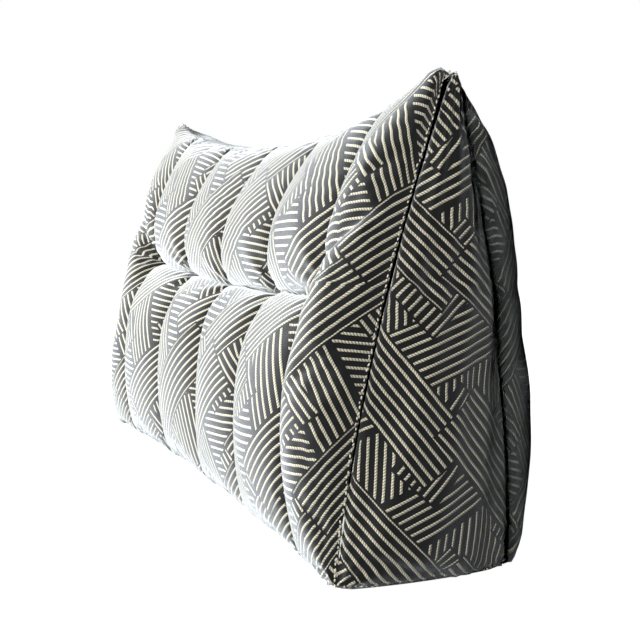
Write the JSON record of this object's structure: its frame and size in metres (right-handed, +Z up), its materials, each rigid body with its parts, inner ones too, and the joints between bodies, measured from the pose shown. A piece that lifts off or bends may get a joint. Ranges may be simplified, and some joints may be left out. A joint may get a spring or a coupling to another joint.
{
  "type": "wedge backrest cushion",
  "caption": "Long triangular wedge backrest cushion, tufted front with puffed columns, pointed top corners, crowned back and a flat base.",
  "frame": {"origin": "centre of the box's bottom face, on the surface that the cushion stands on", "axes": "+X along the cushion's length, -Y towards the person who leans on its tufted front, +Z up"},
  "size_m": [0.9536, 0.3022, 0.5],
  "materials": {
    "woven_cover": "jacquard weave, charcoal ground with raised cream corded stripes"
  },
  "bodies": {
    "root": {"cushion": "woven_cover"}
  },
  "joints": []
}
